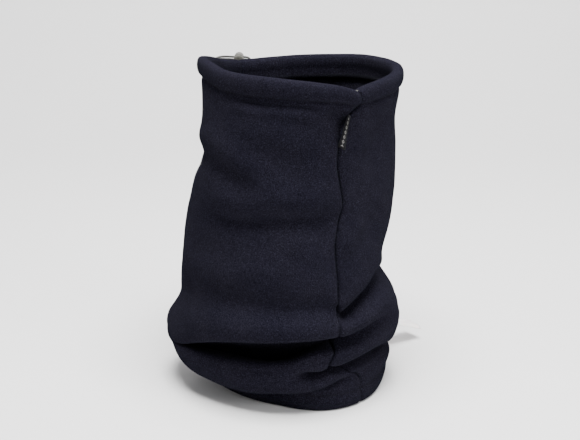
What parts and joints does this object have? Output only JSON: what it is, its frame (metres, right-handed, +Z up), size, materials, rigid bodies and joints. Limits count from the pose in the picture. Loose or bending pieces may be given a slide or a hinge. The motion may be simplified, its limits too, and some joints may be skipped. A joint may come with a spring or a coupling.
{
  "type": "neck gaiter",
  "caption": "Fleece neck gaiter, a sewn tube standing on its hem in slouched folds, with a drawcord channel at the rim, a sprung cord lock, a flag label and a care label.",
  "frame": {"origin": "under the middle of the standing gaiter, on the surface it stands on", "axes": "+Z up along the tube, -Y towards the front, with the sewn flag label to the front right, +X to the right"},
  "size_m": [0.2182, 0.1823, 0.2706],
  "materials": {
    "fleece": "brushed short-pile polyester fleece, dark navy grey",
    "thread": "dark polyester sewing thread",
    "elastic": "braided elastic cord, dark grey brown",
    "lock_plastic": "moulded nylon, dark grey",
    "spring_steel": "bright spring wire",
    "flag_tape": null,
    "care_satin": "white satin label tape, blank"
  },
  "bodies": {
    "root": {"left_panel": "fleece", "right_panel": "fleece", "channel_stitching": "thread", "hem_stitching": "thread", "front_seam_thread": "thread", "back_seam_thread": "thread", "buttonhole_stitching": "thread", "drawcord": "elastic"},
    "cord_lock": {"cord_lock_barrel": "lock_plastic", "cord_lock_spring": "spring_steel"},
    "lock_button": {"cord_lock_plunger": "lock_plastic"},
    "flag": {"flag_label": "flag_tape"},
    "care": {"care_label": "care_satin"}
  },
  "joints": [
    {"name": "cord_lock_slide", "type": "slide", "parent": "root", "child": "cord_lock", "axis": [-1, 0, 0], "range_m": [0, 0.006]},
    {"name": "button_press", "type": "slide", "parent": "cord_lock", "child": "lock_button", "axis": [0, 1, 0], "range_m": [0, 0.0028], "stiffness_N_per_m": 900, "springref_m": -0.0015, "deforming": ["cord_lock_spring"]},
    {"name": "flag_label_hinge", "type": "hinge", "parent": "root", "child": "flag", "pos_m": [0.03088, -0.07183, 0.22744], "axis": [0.044, -0.0828, 0.9956], "range_deg": [-60, 60], "stiffness_Nm_per_rad": 0.001},
    {"name": "care_label_hinge", "type": "hinge", "parent": "root", "child": "care", "pos_m": [0.05826, 0.04762, 0.0295], "axis": [-0.573, 0.8196, 0], "range_deg": [-12, 8], "stiffness_Nm_per_rad": 0.006}
  ]
}
